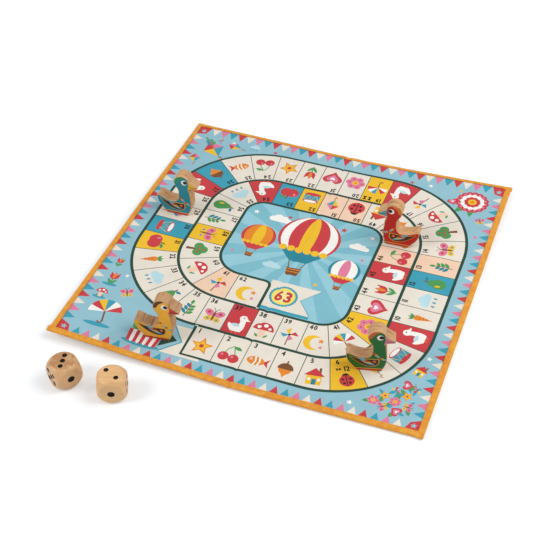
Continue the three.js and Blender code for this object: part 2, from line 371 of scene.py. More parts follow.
def ellipse(x, y, rx, ry, turn=0.0, count=20):
    return moved([(rx * u, ry * v) for u, v in circle(0, 0, 1, count)], x, y, turn)


def wreath(number_of, reach, radius, count):
    """Circles side by side round the origin."""
    return [circle(*middle, radius, count) for middle in circle(0, 0, reach, number_of)]


def box(x0, y0, x1, y1):
    return [(x0, y0), (x1, y0), (x1, y1), (x0, y1)]


def star(x, y, radius, points=5, inner=0.45, turn=90.0):
    tips = circle(x, y, radius, points, turn)
    dips = circle(x, y, radius * inner, points, turn + 180 / points)
    return [point for pair in zip(tips, dips) for point in pair]


def leaf(x, y, length, width, turn, count=7):
    """A pointed leaf from (x, y), length along turn."""
    upper = [(t * length, width / 2 * math.sin(math.pi * t)) for t in np.linspace(0, 1, count)]
    return moved(upper + [(u, -v) for u, v in upper[-2:0:-1]], x, y, turn)


def heart(x, y, size, count=24):
    loop = []
    for t in np.linspace(0, 2 * math.pi, count, endpoint=False):
        height = 13 * math.cos(t) - 5 * math.cos(2 * t) - 2 * math.cos(3 * t) - math.cos(4 * t)
        loop.append((math.sin(t) ** 3, height / 16))
    return moved(loop, x, y, size=size)


def directions(path):
    """Unit directions at the points of an open path."""
    step = np.diff(np.array(path, float), axis=0)
    step /= np.linalg.norm(step, axis=1)[:, None]
    joined = np.vstack([step[:1], step[:-1] + step[1:], step[-1:]])
    return joined / np.linalg.norm(joined, axis=1)[:, None]


def stroke(path, width):
    """The outline of an open path drawn with a pen of that width."""
    points, heading = np.array(path, float), directions(path)
    side = np.column_stack([-heading[:, 1], heading[:, 0]]) * width / 2
    return [tuple(p) for p in np.vstack([points + side, (points - side)[::-1]])]


def draw(*parts):
    """Shapes of loops, each in the colour that is named last before it."""
    shapes = []
    for part in parts:
        if isinstance(part, str):
            colour = part
        else:
            shapes.append(([part], colour))
    return shapes


def coloured(colours, loops):
    """Parts of a drawing: each loop after its colour."""
    return [part for pair in zip(colours, loops) for part in pair]


def both(*loops):
    """Loops, and their mirror images about x = 0."""
    return [*loops, *[[(-x, y) for x, y in loop] for loop in loops]]


def placed(shapes, x, y, size, turn=0.0):
    """A drawing in hundredths of its size, brought to that size, turned and moved."""
    return [([moved(loop, x, y, turn, size / 100) for loop in loops], colour) for loops, colour in shapes]


def stars(*places):
    """Stars, each from its x, y, radius and colour."""
    return [([star(x, y, radius)], colour) for x, y, radius, colour in places]


# The goose of the pawns, which is also drawn on the goose squares

def curve(a, b, c, d, count=14):
    """Points of a cubic curve after its start."""
    points = []
    for t in np.linspace(0, 1, count + 1)[1:]:
        weights = ((1 - t) ** 3, 3 * t * (1 - t) ** 2, 3 * t * t * (1 - t), t ** 3)
        points.append(tuple(sum(w * p[i] for w, p in zip(weights, (a, b, c, d))) for i in (0, 1)))
    return points


def goose_outline():
    """Side outline of the goose, facing +x, standing on the x axis: the same curves as the CAD model's."""
    half, head_up = BASE_LENGTH / 2, PAWN_HEIGHT - HEAD_RADIUS
    head_front, beak_up = HEAD_FORWARD + HEAD_RADIUS, head_up - BEAK_DEPTH / 2
    beak_root = math.degrees(math.asin(BEAK_DEPTH / 5 / HEAD_RADIUS))
    neck_front, neck_back = NECK_FORWARD + NECK_WIDTH / 2, NECK_FORWARD - NECK_WIDTH / 2
    neck_up = (BREAST_HEIGHT + head_up) / 2
    bend = (BREAST_HEIGHT + neck_up) / 2
    head = arc(HEAD_FORWARD, head_up, HEAD_RADIUS, beak_root, NAPE_ANGLE, 30)
    nape_x, nape_up = head[-1]
    tail_x, tail_up = TAIL_TIP_RADIUS - TAIL_BACK, TAIL_HEIGHT - TAIL_TIP_RADIUS
    breast, shoulder = (BREAST_FORWARD, BREAST_HEIGHT), (neck_back, neck_up)
    back = (-BACK_MIDDLE, BACK_HEIGHT)
    belly = ((half + BREAST_FORWARD) / 2, BREAST_HEIGHT / 4), (BREAST_FORWARD, BREAST_HEIGHT / 2)
    nape_bend = (nape_x + HEAD_RADIUS / 6, nape_up - HEAD_RADIUS / 2), (neck_back, (nape_up + neck_up) / 2)
    saddle = ((tail_x - BACK_MIDDLE) / 2, BACK_HEIGHT), (tail_x + TAIL_TIP_RADIUS, TAIL_HEIGHT)
    rump = (-TAIL_BACK, tail_up / 2), (-half - TAIL_TIP_RADIUS, tail_up / 4)
    points = [(x, 0.0) for x in np.linspace(-half, half, 9)]
    points += curve((half, 0), *belly, breast)
    points += curve(breast, (BREAST_FORWARD, bend), (neck_front, bend), (neck_front, neck_up))
    points += [(head_front - BEAK_TIP_RADIUS, beak_up - 2 * BEAK_TIP_RADIUS)]
    points += arc(head_front + BEAK_LENGTH - BEAK_TIP_RADIUS, beak_up, BEAK_TIP_RADIUS, -90, 60, 9)
    points += head + curve(head[-1], *nape_bend, shoulder)
    points += curve(shoulder, (neck_back, (neck_up + BACK_HEIGHT) / 2), (neck_back, BACK_HEIGHT), back)
    points += curve(back, *saddle, (tail_x, TAIL_HEIGHT))
    points += arc(tail_x, tail_up, TAIL_TIP_RADIUS, 90, 180, 7)[1:]
    return points + curve((-TAIL_BACK, tail_up), *rump, (-half, 0))[:-1]


# Small pictures, each about 200 units across

FOUR_COLOURS = ("red", "yellow", "blue", "pink")
KITE = [(0, 100), (-60, 30), (0, -50), (60, 30)]
SPRIG_LEAVES = ((-70, 75), (-30, 65), (10, 55))
POT_STRIPES = np.linspace(-100, 100, 10)
PICTURES = {
    "tulip": draw(
        "leaf", box(-6, -100, 6, 0), *both(leaf(0, -95, 95, 30, 60)),
        "red", [(-50, 90), (-20, 50), (0, 95), (20, 50), (50, 90)] + arc(0, 30, 50, 0, -180, 9),
        "orange", leaf(0, -15, 100, 34, 90)),
    "apple": draw(
        "red", *both(circle(28, -12, 60)), "pink", ellipse(-50, 10, 12, 22, 20, 12),
        "brown", stroke([(0, 35), (5, 65), (16, 90)], 12), "leaf", leaf(10, 55, 75, 32, 15)),
    "moon": draw(
        "yellow", arc(-10, 0, 85, 50, 310, 18) + arc(30, 0, 68, 285, 75, 14),
        "orange", star(50, 30, 30), "pink", star(60, -40, 22)),
    "house": draw(
        "brown", box(30, 40, 50, 95), "yellow", box(-62, -90, 62, 10), "red", [(-85, 5), (85, 5), (0, 90)],
        "teal", box(-16, -90, 20, -30), "white", box(30, -50, 52, -20), box(-50, -50, -28, -20)),
    "butterfly": draw(
        "pink", *both(ellipse(46, 32, 46, 34, 35)), "yellow", *both(ellipse(38, -36, 36, 28, -30)),
        "red", *both(circle(50, 36, 15, 10)), "blue", *both(circle(40, -38, 12, 10)),
        "ink", *both(stroke([(0, 50), (12, 78), (30, 95)], 5)), "brown", ellipse(0, 0, 10, 62, 0, 14)),
    "star": draw("orange", star(0, 0, 100), "yellow", star(0, 0, 74), "red", circle(0, 0, 20, 12)),
    "carrot": draw(
        "leaf", *[leaf(0, 50, 62, 24, turn) for turn in (55, 90, 125)],
        "orange", [(-32, 30), (0, -100), (32, 30)] + arc(0, 30, 32, 20, 160, 6),
        "red", box(-19, 7, 7, 13), box(-7, -23, 19, -17), box(-13, -53, 13, -47)),
    "umbrella": draw(
        "brown", stroke([(0, 2), (0, -75), (-8, -88), (-20, -88), (-26, -75)], 10), *coloured(
            ("red", "white", "blue", "yellow", "red", "white"),
            [[(0, 0)] + arc(0, 0, 95, turn, turn + 30, 4) for turn in range(0, 180, 30)])),
    "ladybird": draw(
        "ink", circle(0, 52, 38, 14), "red", circle(0, -12, 78),
        "ink", box(-4, -90, 4, 66), *both(circle(40, 10, 14, 10), circle(30, -42, 14, 10))),
    "tree": draw(
        "brown", [(-16, -100), (16, -100), (10, 10), (-10, 10)],
        "leaf", *both(circle(40, 10, 45, 16)), circle(0, 50, 48, 16),
        "red", *[circle(x, y, 11, 10) for x, y in ((-40, 15), (35, 5), (2, 62), (0, 20))]),
    "cherries": draw(
        "leaf", *[stroke([(x, 0), (0.6 * x, 50), (12, 90)], 8) for x in (-45, 45)],
        "red", circle(-45, -35, 46), circle(45, -45, 46),
        "pink", circle(-60, -20, 12, 10), circle(30, -30, 12, 10), "leaf", leaf(12, 85, 80, 36, -20)),
    "rain": draw(
        "sky", box(-60, -20, 60, 20), *both(circle(50, 15, 36, 16)), circle(0, 38, 46, 16),
        "blue", *[leaf(x, -35, 42, 20, -100) for x in (-50, 0, 50)]),
    "flower": draw(
        "pink", *wreath(6, 58, 36, 14), "red", *wreath(6, 60, 10, 8),
        "yellow", circle(0, 0, 32, 14), "orange", circle(0, 0, 15, 10)),
    "kite": draw(
        "ink", stroke([(0, -50), (15, -70), (-10, -85), (10, -100)], 6),
        *coloured(FOUR_COLOURS, [[KITE[i - 1], KITE[i], (0, 30)] for i in (1, 2, 3, 0)]),
        "orange", star(3, -78, 16, 4, 0.4)),
    "mushroom": draw(
        "leaf", *both(leaf(20, -95, 60, 20, 50)), "peach", [(-24, -95), (24, -95), (30, 0), (-30, 0)],
        "red", arc(0, -5, 90, 0, 180, 15),
        "white", circle(-42, 30, 18, 12), circle(10, 50, 20, 12), circle(52, 20, 14, 12)),
    "fish": draw(
        "red", [(45, 0), (100, 50), (85, 0), (100, -50)], "orange", ellipse(-15, 0, 75, 46),
        "white", stroke([(10, 44), (20, 0), (10, -44)], 14), stroke([(-25, 45), (-15, 0), (-25, -45)], 12),
        circle(-58, 12, 12, 10), "ink", circle(-60, 12, 6, 8)),
    "pear": draw(
        "leaf", arc(0, -38, 62, 150, 390, 16) + arc(0, 36, 32, 20, 160, 8),
        "yellow", ellipse(-26, -30, 12, 26, 15, 12), "brown", stroke([(0, 60), (8, 100)], 12),
        "teal", leaf(5, 72, 65, 30, 10)),
    "heart": draw("red", heart(0, 5, 95), "pink", heart(0, 10, 60), "white", heart(0, 15, 25, 14)),
    "drum": draw(
        "blue", box(-75, -60, 75, 45), "red", ellipse(0, -60, 75, 22), box(-75, -62, 75, -46),
        "yellow", stroke([(-70, 30), (-35, -50), (0, 30), (35, -50), (70, 30)], 7),
        "red", ellipse(0, 45, 75, 26), "white", ellipse(0, 47, 62, 19)),
    "pinwheel": draw(
        "brown", box(-5, -100, 5, 20),
        *coloured(FOUR_COLOURS, [moved([(0, 0), (80, 0), (42, 42)], 0, 25, 90 * i) for i in range(4)]),
        "ink", circle(0, 25, 12, 10)),
    "acorn": draw(
        "orange", arc(0, -5, 55, 0, -67.5, 4) + [(0, -95)] + arc(0, -5, 55, -112.5, -180, 4),
        "brown", arc(0, -5, 68, 0, 180, 11), box(-7, 55, 7, 90)),
    "sprig": draw(
        "brown", stroke([(0, -100), (5, -20), (-5, 60)], 8),
        "leaf", *[leaf(0, y, length, 32, 40) for y, length in SPRIG_LEAVES],
        "teal", *[leaf(0, y, length, 32, 140) for y, length in SPRIG_LEAVES],
        "leaf", leaf(-5, 45, 60, 30, 95)),
}
TRACK_PICTURES = list(PICTURES)
TRACK_PICTURE_STEP = 5

# Larger pictures, and the goose of the goose squares
PICTURES.update({
    "goose": draw(
        "orange", box(-19, -122, -11, -95), box(16, -122, 24, -95),
        "white", [((x + 1) / 0.3, (y - PAWN_HEIGHT / 2) / 0.3) for x, y in goose_outline()],
        "orange", [(52, 74), (80, 50), (80, 58), (56, 86)],
        "sky", leaf(30, -30, 85, 40, 175), "ink", circle(30, 72, 7, 8)),
    "rosette": draw(
        "leaf", leaf(0, 0, 150, 50, 235), leaf(0, 0, 145, 45, 275), "red", *wreath(16, 82, 20, 14),
        "pink", *wreath(16, 80, 9, 14), "white", *wreath(12, 56, 19, 14), "red", *wreath(10, 36, 15, 14),
        "yellow", circle(0, 0, 27, 16), "orange", circle(0, 0, 12, 12)),
    "striped pot": draw(
        "blue", ellipse(0, -62, 115, 20), "leaf", *[leaf(x, 20, 80, 40, 90 - 0.4 * x) for x in (-60, 0, 60)],
        *coloured(("red", "white") * 5, [
            [(a, 30), (b, 30), (0.9 * b, -55), (0.45 * (a + b), -68), (0.9 * a, -55)]
            for a, b in zip(POT_STRIPES, POT_STRIPES[1:])])),
})


# Numbers, from Blender's own font

DIGIT_HEIGHT = 100
DIGIT_SQUEEZE = 0.86
DIGIT_GAP = 10
DIGIT_WEIGHT = 0.04


def digit_outlines():
    """The loops and the width of each digit."""
    digits = {}
    for character in "0123456789":
        font = bpy.data.curves.new("digit", "FONT")
        font.body = character
        font.resolution_u = 2
        font.offset = DIGIT_WEIGHT
        text = add_object("digit", font)
        mesh = text.evaluated_get(bpy.context.evaluated_depsgraph_get()).to_mesh()
        points = np.array([v.co[:2] for v in mesh.vertices])
        loops = boundary_loops([tuple(p.vertices) for p in mesh.polygons])
        low, high = points.min(0), points.max(0)
        flat = (points - low) / (high[1] - low[1]) * DIGIT_HEIGHT * (DIGIT_SQUEEZE, 1)
        digits[character] = ([[tuple(flat[i]) for i in loop] for loop in loops], flat[:, 0].max())
        bpy.data.objects.remove(text)
        bpy.data.curves.remove(font)
    return digits


def boundary_loops(faces):
    """Ordered loops of the vertices round the open edges of a set of faces."""
    edges = {(a, b) for face in faces for a, b in zip(face, face[1:] + face[:1])}
    following = {a: b for a, b in sorted(edges) if (b, a) not in edges}
    loops = []
    while following:
        first, here = following.popitem()
        loop = [first]
        while here != first:
            loop.append(here)
            here = following.pop(here)
        loops.append(loop)
    return loops


def number(digits, text, colour):
    """A number with its middle at the origin."""
    shapes, x = [], -(sum(digits[c][1] for c in text) + DIGIT_GAP * (len(text) - 1)) / 2
    for c in text:
        loops, advance = digits[c]
        shapes.append(([moved(loop, x, -DIGIT_HEIGHT / 2) for loop in loops], colour))
        x += advance + DIGIT_GAP
    return shapes


# Track of the game: one spiral line, and the middle line of the lane between its turns

LINE_WIDTH = 3.5
DIVIDER_WIDTH = 0.85
NUMBER_HEIGHT = 7.0
NUMBER_FROM_LINE = 6.6
NUMBER_FROM_DIVIDER = 6.8
PICTURE_SIZE = 13.2
PICTURE_OUTWARD = 4.8
SQUARE_GAP = 0.02
SQUARE_STEPS = 6

OUTER_X, MIDDLE_X, INNER_X = 184.5, 132.2, 85.2
OUTER_FAR, MIDDLE_FAR, INNER_FAR = 180.2, 129.2, 84.5
FIRST_NEAR, SECOND_NEAR, THIRD_NEAR, LAST_NEAR = -185.4, -140.4, -92.7, -47.0
START_X, FINISH_X = -64.4, -12.0
OUTER_TURN, MIDDLE_TURN, INNER_TURN = 114.0, 70.0, 22.0
STEP_TURN, LAST_TURN, FINISH_TURN, NEAR_INNER_TURN = 72.0, 33.0, 7.0, 30.0

# Corners of the line, each with its radius
SPIRAL = [
    (START_X, SECOND_NEAR, 0), (START_X, FIRST_NEAR, 0), (OUTER_X, FIRST_NEAR, OUTER_TURN),
    (OUTER_X, OUTER_FAR, OUTER_TURN), (-OUTER_X, OUTER_FAR, OUTER_TURN), (-OUTER_X, SECOND_NEAR, OUTER_TURN),
    (MIDDLE_X, SECOND_NEAR, MIDDLE_TURN), (MIDDLE_X, MIDDLE_FAR, MIDDLE_TURN),
    (-MIDDLE_X, MIDDLE_FAR, MIDDLE_TURN), (-MIDDLE_X, THIRD_NEAR, STEP_TURN),
    (INNER_X, THIRD_NEAR, NEAR_INNER_TURN), (INNER_X, INNER_FAR, INNER_TURN),
    (-INNER_X, INNER_FAR, INNER_TURN), (-INNER_X, LAST_NEAR, LAST_TURN),
    (FINISH_X, LAST_NEAR, FINISH_TURN), (FINISH_X, THIRD_NEAR, 0),
]
PANEL_CORNERS = SPIRAL[10:]

# The lane's middle line: half way between corners of the line that are one turn apart, with radii of its own
LANE_TURNS = [92.0] * 4 + [46.0] * 3 + [52.5]
LANE = [(START_X, (FIRST_NEAR + SECOND_NEAR) / 2, 0)]
LANE += [((a[0] + b[0]) / 2, (a[1] + b[1]) / 2, t) for a, b, t in zip(SPIRAL[2:], SPIRAL[6:], LANE_TURNS)]
LANE += [(FINISH_X, (THIRD_NEAR + LAST_NEAR) / 2, 0)]
LANE_1_X, LANE_1_FAR = LANE[2][:2]
LANE_2_X, LANE_2_FAR = LANE[6][:2]
LANE_1_NEAR, LANE_2_NEAR, LANE_3_NEAR = (LANE[i][1] for i in (0, 4, 9))

# Stretches of the lane: where each one ends, and how many squares it holds
STRETCHES = [
    (-30.5, LANE_1_NEAR, 1), (96.5, LANE_1_NEAR, 4), (LANE_1_X, -90, 3), (LANE_1_X, 89, 6),
    (97.5, LANE_1_FAR, 3), (-79, LANE_1_FAR, 6), (-LANE_1_X, 71, 4), (-LANE_1_X, -45, 4),
    (-97.5, LANE_2_NEAR, 3), (80, LANE_2_NEAR, 6), (LANE_2_X, -60, 2), (LANE_2_X, 59, 4),
    (83.5, LANE_2_FAR, 2), (-61.5, LANE_2_FAR, 5), (-LANE_2_X, 74, 2), (-LANE_2_X, -10, 3),
    (-LANE_2_X, -41, 1), (-51, LANE_3_NEAR, 2), (FINISH_X, LANE_3_NEAR, 1),
]
SQUARE_COLOURS = {
    "red": (9, 18, 27, 37, 45, 54), "yellow": (6, 19, 31, 42, 52, 58), "blue": (12, 26, 30, 53),
    "peach": (13, 46, 50, 51, 61),
}

# Marks for the players: the square that a player goes on to, and the turns that a player waits
LEAPS = {6: "12"}
WAITS = {19: 2}
MARK_SIZE = 6.4
LEAP_INWARD, LEAP_PICTURE_OUTWARD, LEAP_PICTURE_SIZE = 12.0, 4.0, 10.5
WAIT_START, WAIT_PITCH = 11.0, 6.2


def rounded_path(corners, step=5.0):
    """Points along a path of straight lengths joined by arcs."""
    points = []
    for i, (x, y, radius) in enumerate(corners):
        if radius == 0:
            points.append((x, y))
            continue
        here = np.array((x, y), float)
        back, ahead = (np.array(corners[k][:2]) - here for k in (i - 1, i + 1))
        back, ahead = back / np.linalg.norm(back), ahead / np.linalg.norm(ahead)
        middle = here + (back + ahead) * radius
        count = max(3, int(math.pi / 2 * radius / step))
        for t in np.linspace(0, math.pi / 2, count + 1):
            points.append(tuple(middle - ahead * radius * math.cos(t) - back * radius * math.sin(t)))
    return points


class Along:
    """A path that can be read by the distance along it."""

    def __init__(self, points):
        self.points = np.array(points, float)
        self.step = np.diff(self.points, axis=0)
        self.length = np.linalg.norm(self.step, axis=1)
        self.start = np.concatenate([[0], np.cumsum(self.length)])
        self.heading = directions(points)

    def nearest(self, x, y):
        """Distance along the path of its point nearest to (x, y)."""
        t = np.clip((((x, y) - self.points[:-1]) * self.step).sum(1) / self.length ** 2, 0, 1)
        gap = np.linalg.norm(self.points[:-1] + self.step * t[:, None] - (x, y), axis=1)
        i = int(gap.argmin())
        return self.start[i] + t[i] * self.length[i]

    def at(self, distance):
        """Point and unit direction at a distance, with the direction smoothed over the corners' points."""
        i = int(np.clip(np.searchsorted(self.start, distance) - 1, 0, len(self.step) - 1))
        t = (distance - self.start[i]) / self.length[i]
        direction = self.heading[i] * (1 - t) + self.heading[i + 1] * t
        return self.points[i] + self.step[i] * t, direction / np.linalg.norm(direction)

    def crossing(self, origin, direction):
        """Distance from origin to the first place where a ray meets the path."""
        (ax, ay), (dx, dy), (rx, ry) = (self.points[:-1] - origin).T, self.step.T, direction
        cross = rx * dy - ry * dx
        cross = np.where(abs(cross) < 1e-9, 1e-9, cross)
        reach, share = (ax * dy - ay * dx) / cross, (ax * ry - ay * rx) / cross
        return float(reach[(share >= -1e-6) & (share <= 1 + 1e-6) & (reach > 1e-6)].min())


def square_stations(lane):
    """Distances along the lane of all the dividers."""
    stations = [0.0]
    for x, y, count in STRETCHES:
        stations += list(np.linspace(stations[-1], lane.nearest(x, y), count + 1)[1:])
    return stations


def lane_edges(lane, line, distance):
    """The two points of the spiral line on either side of the lane: the outer one, then the inner one."""
    point, heading = lane.at(distance)
    inward = np.array((-heading[1], heading[0]))
    return point - inward * line.crossing(point, -inward), point + inward * line.crossing(point, inward)


def leap(digits, target):
    """Two arrowheads, and the number of the square to go on to."""
    heads = [[(x, 32), (x + 48, 0), (x, -32)] for x in (-130, -82)]
    return draw("ink", *heads) + placed(number(digits, target, "ink"), 50, 0, 110)


def hourglass():
    """The mark of one turn to wait."""
    return draw("ink", *[[(-40, y), (40, y), (12, 0), (-12, 0)] for y in (-50, 50)])


def track(digits):
    """The squares with their numbers, marks and small pictures, then the lines."""
    lane, line = Along(rounded_path(LANE)), Along(rounded_path(SPIRAL))
    stations = square_stations(lane)
    colour_of = {n: colour for colour, numbers in SQUARE_COLOURS.items() for n in numbers}
    squares, dividers, marks = [], [], []
    for n, (start, end) in enumerate(zip(stations, stations[1:]), 1):
        steps = np.linspace(start + SQUARE_GAP, end - SQUARE_GAP, SQUARE_STEPS + 1)
        rungs = [lane_edges(lane, line, step) for step in steps]
        loop = [tuple(outer) for outer, _ in rungs] + [tuple(inner) for _, inner in rungs[::-1]]
        squares += draw(colour_of.get(n, "cream"), loop)
        if n > 1:
            dividers += draw("line", stroke(rungs[0], DIVIDER_WIDTH))
        outer, inner = rungs[SQUARE_STEPS // 2]
        inward = (inner - outer) / np.linalg.norm(inner - outer)
        ahead = np.array((inward[1], -inward[0]))
        turn = math.degrees(math.atan2(ahead[1], ahead[0]))
        back = max(0.0, abs((inner - rungs[0][1]) @ ahead) - NUMBER_FROM_DIVIDER)
        spot = inner - inward * NUMBER_FROM_LINE - ahead * back
        marks += placed(number(digits, str(n), "ink"), *spot, NUMBER_HEIGHT, turn)
        for i in range(WAITS.get(n, 0)):
            marks += placed(hourglass(), *(spot + ahead * (WAIT_START + i * WAIT_PITCH)), MARK_SIZE, turn)
        size, middle = PICTURE_SIZE, (outer + inner) / 2 - inward * PICTURE_OUTWARD
        if n in LEAPS:
            marks += placed(leap(digits, LEAPS[n]), *(middle + inward * LEAP_INWARD), MARK_SIZE, turn)
            size, middle = LEAP_PICTURE_SIZE, middle - inward * LEAP_PICTURE_OUTWARD
        plain = TRACK_PICTURES[n * TRACK_PICTURE_STEP % len(TRACK_PICTURES)]
        marks += placed(PICTURES["goose" if colour_of.get(n) == "red" else plain], *middle, size, turn)
    return squares + marks + dividers + draw("line", stroke(line.points, LINE_WIDTH))


# The rest of the print

PENNANTS_PER_SIDE = 31
PENNANT_PITCH = 12.04
PENNANT_HEIGHT = 11.7
PENNANT_HIDDEN = 1.6
CORNER_PATCH = 17.4
CORNER_PATCH_POINT = 11.0
CORNER_STAR = 4.0
CORNER_STAR_INSET = 0.38 * CORNER_PATCH
HUB = (6.0, 18.0)
RAYS = 14


def border():
    """Bunting along the four sides, and a starred patch in each corner."""
    far = ["cream", "pink", "blue"] + ["red", "cream", "pink", "blue"] * 7
    near = ["blue", "pink", "cream"] + ["red", "blue", "pink", "cream"] * 7
    edge, tip, half = PRINT_EDGE + PENNANT_HIDDEN, PRINT_EDGE - PENNANT_HEIGHT, PENNANT_PITCH / 2
    shapes = []
    for i in range(PENNANTS_PER_SIDE):
        t = (i - (PENNANTS_PER_SIDE - 1) / 2) * PENNANT_PITCH
        flag = [(t - half, edge), (t + half, edge), (t, tip)]
        shapes += draw(
            far[i], flag, [(-v, -u) for u, v in flag], [(v, -u) for u, v in flag],
            near[i], [(u, -v) for u, v in flag])
    end, point = PRINT_EDGE - CORNER_PATCH, PRINT_EDGE - CORNER_PATCH_POINT
    middle = PRINT_EDGE - CORNER_STAR_INSET
    kite = [(CLOTH_EDGE, CLOTH_EDGE), (end, CLOTH_EDGE), (point, point), (CLOTH_EDGE, end)]
    for sx in SIDES:
        for sy in SIDES:
            patch = [(sx * x, sy * y) for x, y in kite]
            shapes += draw("red", patch, "ground", star(sx * middle, sy * middle, CORNER_STAR))
    return shapes


def balloon(colours, skirt):
    """A striped hot-air balloon, about 200 units high."""
    edges = np.sin(np.linspace(-math.pi / 2, math.pi / 2, len(colours) + 1))
    rim = arc(0, 30, 72, 90, -38, 12)
    lines = [[(edge * x, y) for x, y in rim] for edge in edges]
    return draw(
        *coloured(colours, [b + a[::-1] for a, b in zip(lines, lines[1:])]),
        skirt, [(-57, -15), (57, -15), (20, -55), (-20, -55)],
        "yellow", *[circle(x, -16, 9.5, 12) for x in np.linspace(-48, 48, 6)],
        "brown", *both(stroke([(19, -54), (13, -78)], 2.2)), [(-17, -76), (17, -76), (13, -100), (-13, -100)],
        "orange", *[box(-16, y, 16, y + 2.5) for y in (-82, -90)])


def cloud(colour):
    puffs = ((-62, 0, 30), (-20, 16, 42), (30, 10, 36), (70, -4, 26))
    return draw(colour, box(-70, -30, 72, 0), *[circle(*puff, 18) for puff in puffs])


def last_square(digits):
    """The flag with the last number."""
    x, y = 8.8, LANE_3_NEAR + 5.5
    low, high = THIRD_NEAR + 7, LAST_NEAR + 4.8
    notch = [(46, low), (28.5, y), (47, high)]
    flag = draw(
        "blue", box(FINISH_X, low - 4.5, 46, low), stroke(notch, 1.8),
        "cream", notch + [(FINISH_X, high), (FINISH_X, low)], "blue", star(x, y, 16.7, 24, 0.95),
        "lemon", circle(x, y, 13.5, 40), "butter", circle(x, y, 9.5, 40))
    return flag + placed(number(digits, "63", "red"), x, y, 17.2)


# The middle: clouds and stars by x, y, size and colour, and balloons with the colours of skirt and stripes
CLOUDS = ((-40, 60, 15, "white"), (64, 44, 13, "white"), (-22, -20, 12, "sky"))
BALLOONS = (
    (-54, 14, 29, "red", "red", "orange", "yellow", "orange", "red"),
    (60, -8, 26, "red", "teal", "white", "pink", "white", "teal"),
    (4, 24, 52, "teal", "red", "white", "red", "yellow", "red", "white", "red"),
)
CENTRE_STARS = (
    (-30, 68, 3.5, "red"), (38, 68, 4.5, "red"), (74, 66, 3.5, "white"), (-72, 64, 4, "white"),
    (-74, -12, 3, "pink"), (36, -34, 3.5, "yellow"), (74, 24, 3, "pink"),
)


def centre(digits):
    """The picture in the middle of the track, and the last square."""
    panel = rounded_path(PANEL_CORNERS)
    line, hub = Along(panel + panel[:1]), np.array(HUB)
    shapes = draw("panel", panel)
    for i in range(RAYS):
        ways = np.array(arc(0, 0, 1, 360 / RAYS * i, 360 / RAYS * (i + 0.5), 6))
        shapes += draw("ray", [HUB] + [tuple(hub + way * line.crossing(hub, way)) for way in ways])
    for x, y, size, colour in CLOUDS:
        shapes += placed(cloud(colour), x, y, size)
    for x, y, size, skirt, *colours in BALLOONS:
        shapes += placed(balloon(colours, skirt), x, y, size)
    return shapes + stars(*CENTRE_STARS) + last_square(digits)


# Outside the track's corners: pictures by name, x, y, size and turn, a flower bed, ovals of ground and stars
CORNER_PICTURES = (
    ("umbrella", -166, -160, 20, 14), ("striped pot", -111, -176, 19, 0), ("mushroom", -183, -133, 8, 0),
    ("tulip", -181, -107, 11, 0), ("butterfly", -156, -124, 9, 25), ("tulip", -186, -80, 8, 0),
    ("kite", -166, 160, 23, 40), ("kite", -185, 136, 12, 15), ("kite", -143, 178, 13, 75),
    ("sprig", -180, 178, 11, 45), ("rain", -120, 185, 8, 0), ("pinwheel", -168, 184, 6, 20),
    ("rosette", 170, 169, 20, 0), ("heart", 147, 163, 7, 30), ("butterfly", 187, 136, 7, 20),
    ("house", 184, -122, 9, -20),
)
FLOWER_BED = (
    (148, -177), (158, -167), (168, -157), (177, -146), (160, -182), (170, -172), (180, -161), (187, -148),
    (174, -184), (184, -175),
)
BLOOMS = ("flower", "star", "pinwheel", "heart", "butterfly")
BLOOM_SIZE = 7
GROUNDS = ((-166, -181, 16, 3), (-181, -118, 9, 2.4), (-183, -141, 8, 2.2))
CORNER_STARS = (
    (-92, 184, 3.5, "red"), (-188, 108, 3.5, "pink"), (-150, 186, 3, "white"), (114, 185, 3.5, "white"),
    (90, 184, 3.5, "red"), (152, 186, 3, "yellow"), (188, 106, 3.5, "pink"), (188, -102, 3.5, "white"),
    (126, -188, 3.5, "white"), (-168, -98, 3, "white"),
)
START_NOTCH = [(-86.5, -148), (-69.5, -170), (-89.5, -190)]


def corners():
    """Pictures outside the four rounded corners of the track, and the arrow at the start."""
    shapes = draw("blue", *[ellipse(*ground) for ground in GROUNDS])
    for name, *place in CORNER_PICTURES:
        shapes += placed(PICTURES[name], *place)
    for i, (x, y) in enumerate(FLOWER_BED):
        shapes += draw("leaf", leaf(x, y, 12, 5, 200 + 50 * i), "blue", leaf(x, y, 11, 4, 60 + 80 * i))
    for i, (x, y) in enumerate(FLOWER_BED):
        shapes += placed(PICTURES[BLOOMS[i % len(BLOOMS)]], x, y, BLOOM_SIZE, 30 * i)
    return shapes + stars(*CORNER_STARS) + draw(
        "cream", START_NOTCH + [(-41, -190), (START_X, -148)], "blue", stroke(START_NOTCH, 1.8),
        "line", [(-92, -157), (-75, -170), (-92, -184)])


# How the cloth lies

def smooth(low, high, value):
    t = np.clip((value - low) / (high - low), 0, 1)
    return t * t * (3 - 2 * t)


def bulge(distance, height, reach):
    """Height beside a crease, which is greatest at that reach from it."""
    t = np.abs(distance) / reach
    return height * t * np.exp(1 - t)


def wave(u, v, reach, sway, sway_reach):
    """Waves along u, from 0 to 2, that sway along v."""
    return 1 + np.sin(u / reach + sway * np.sin(v / sway_reach))


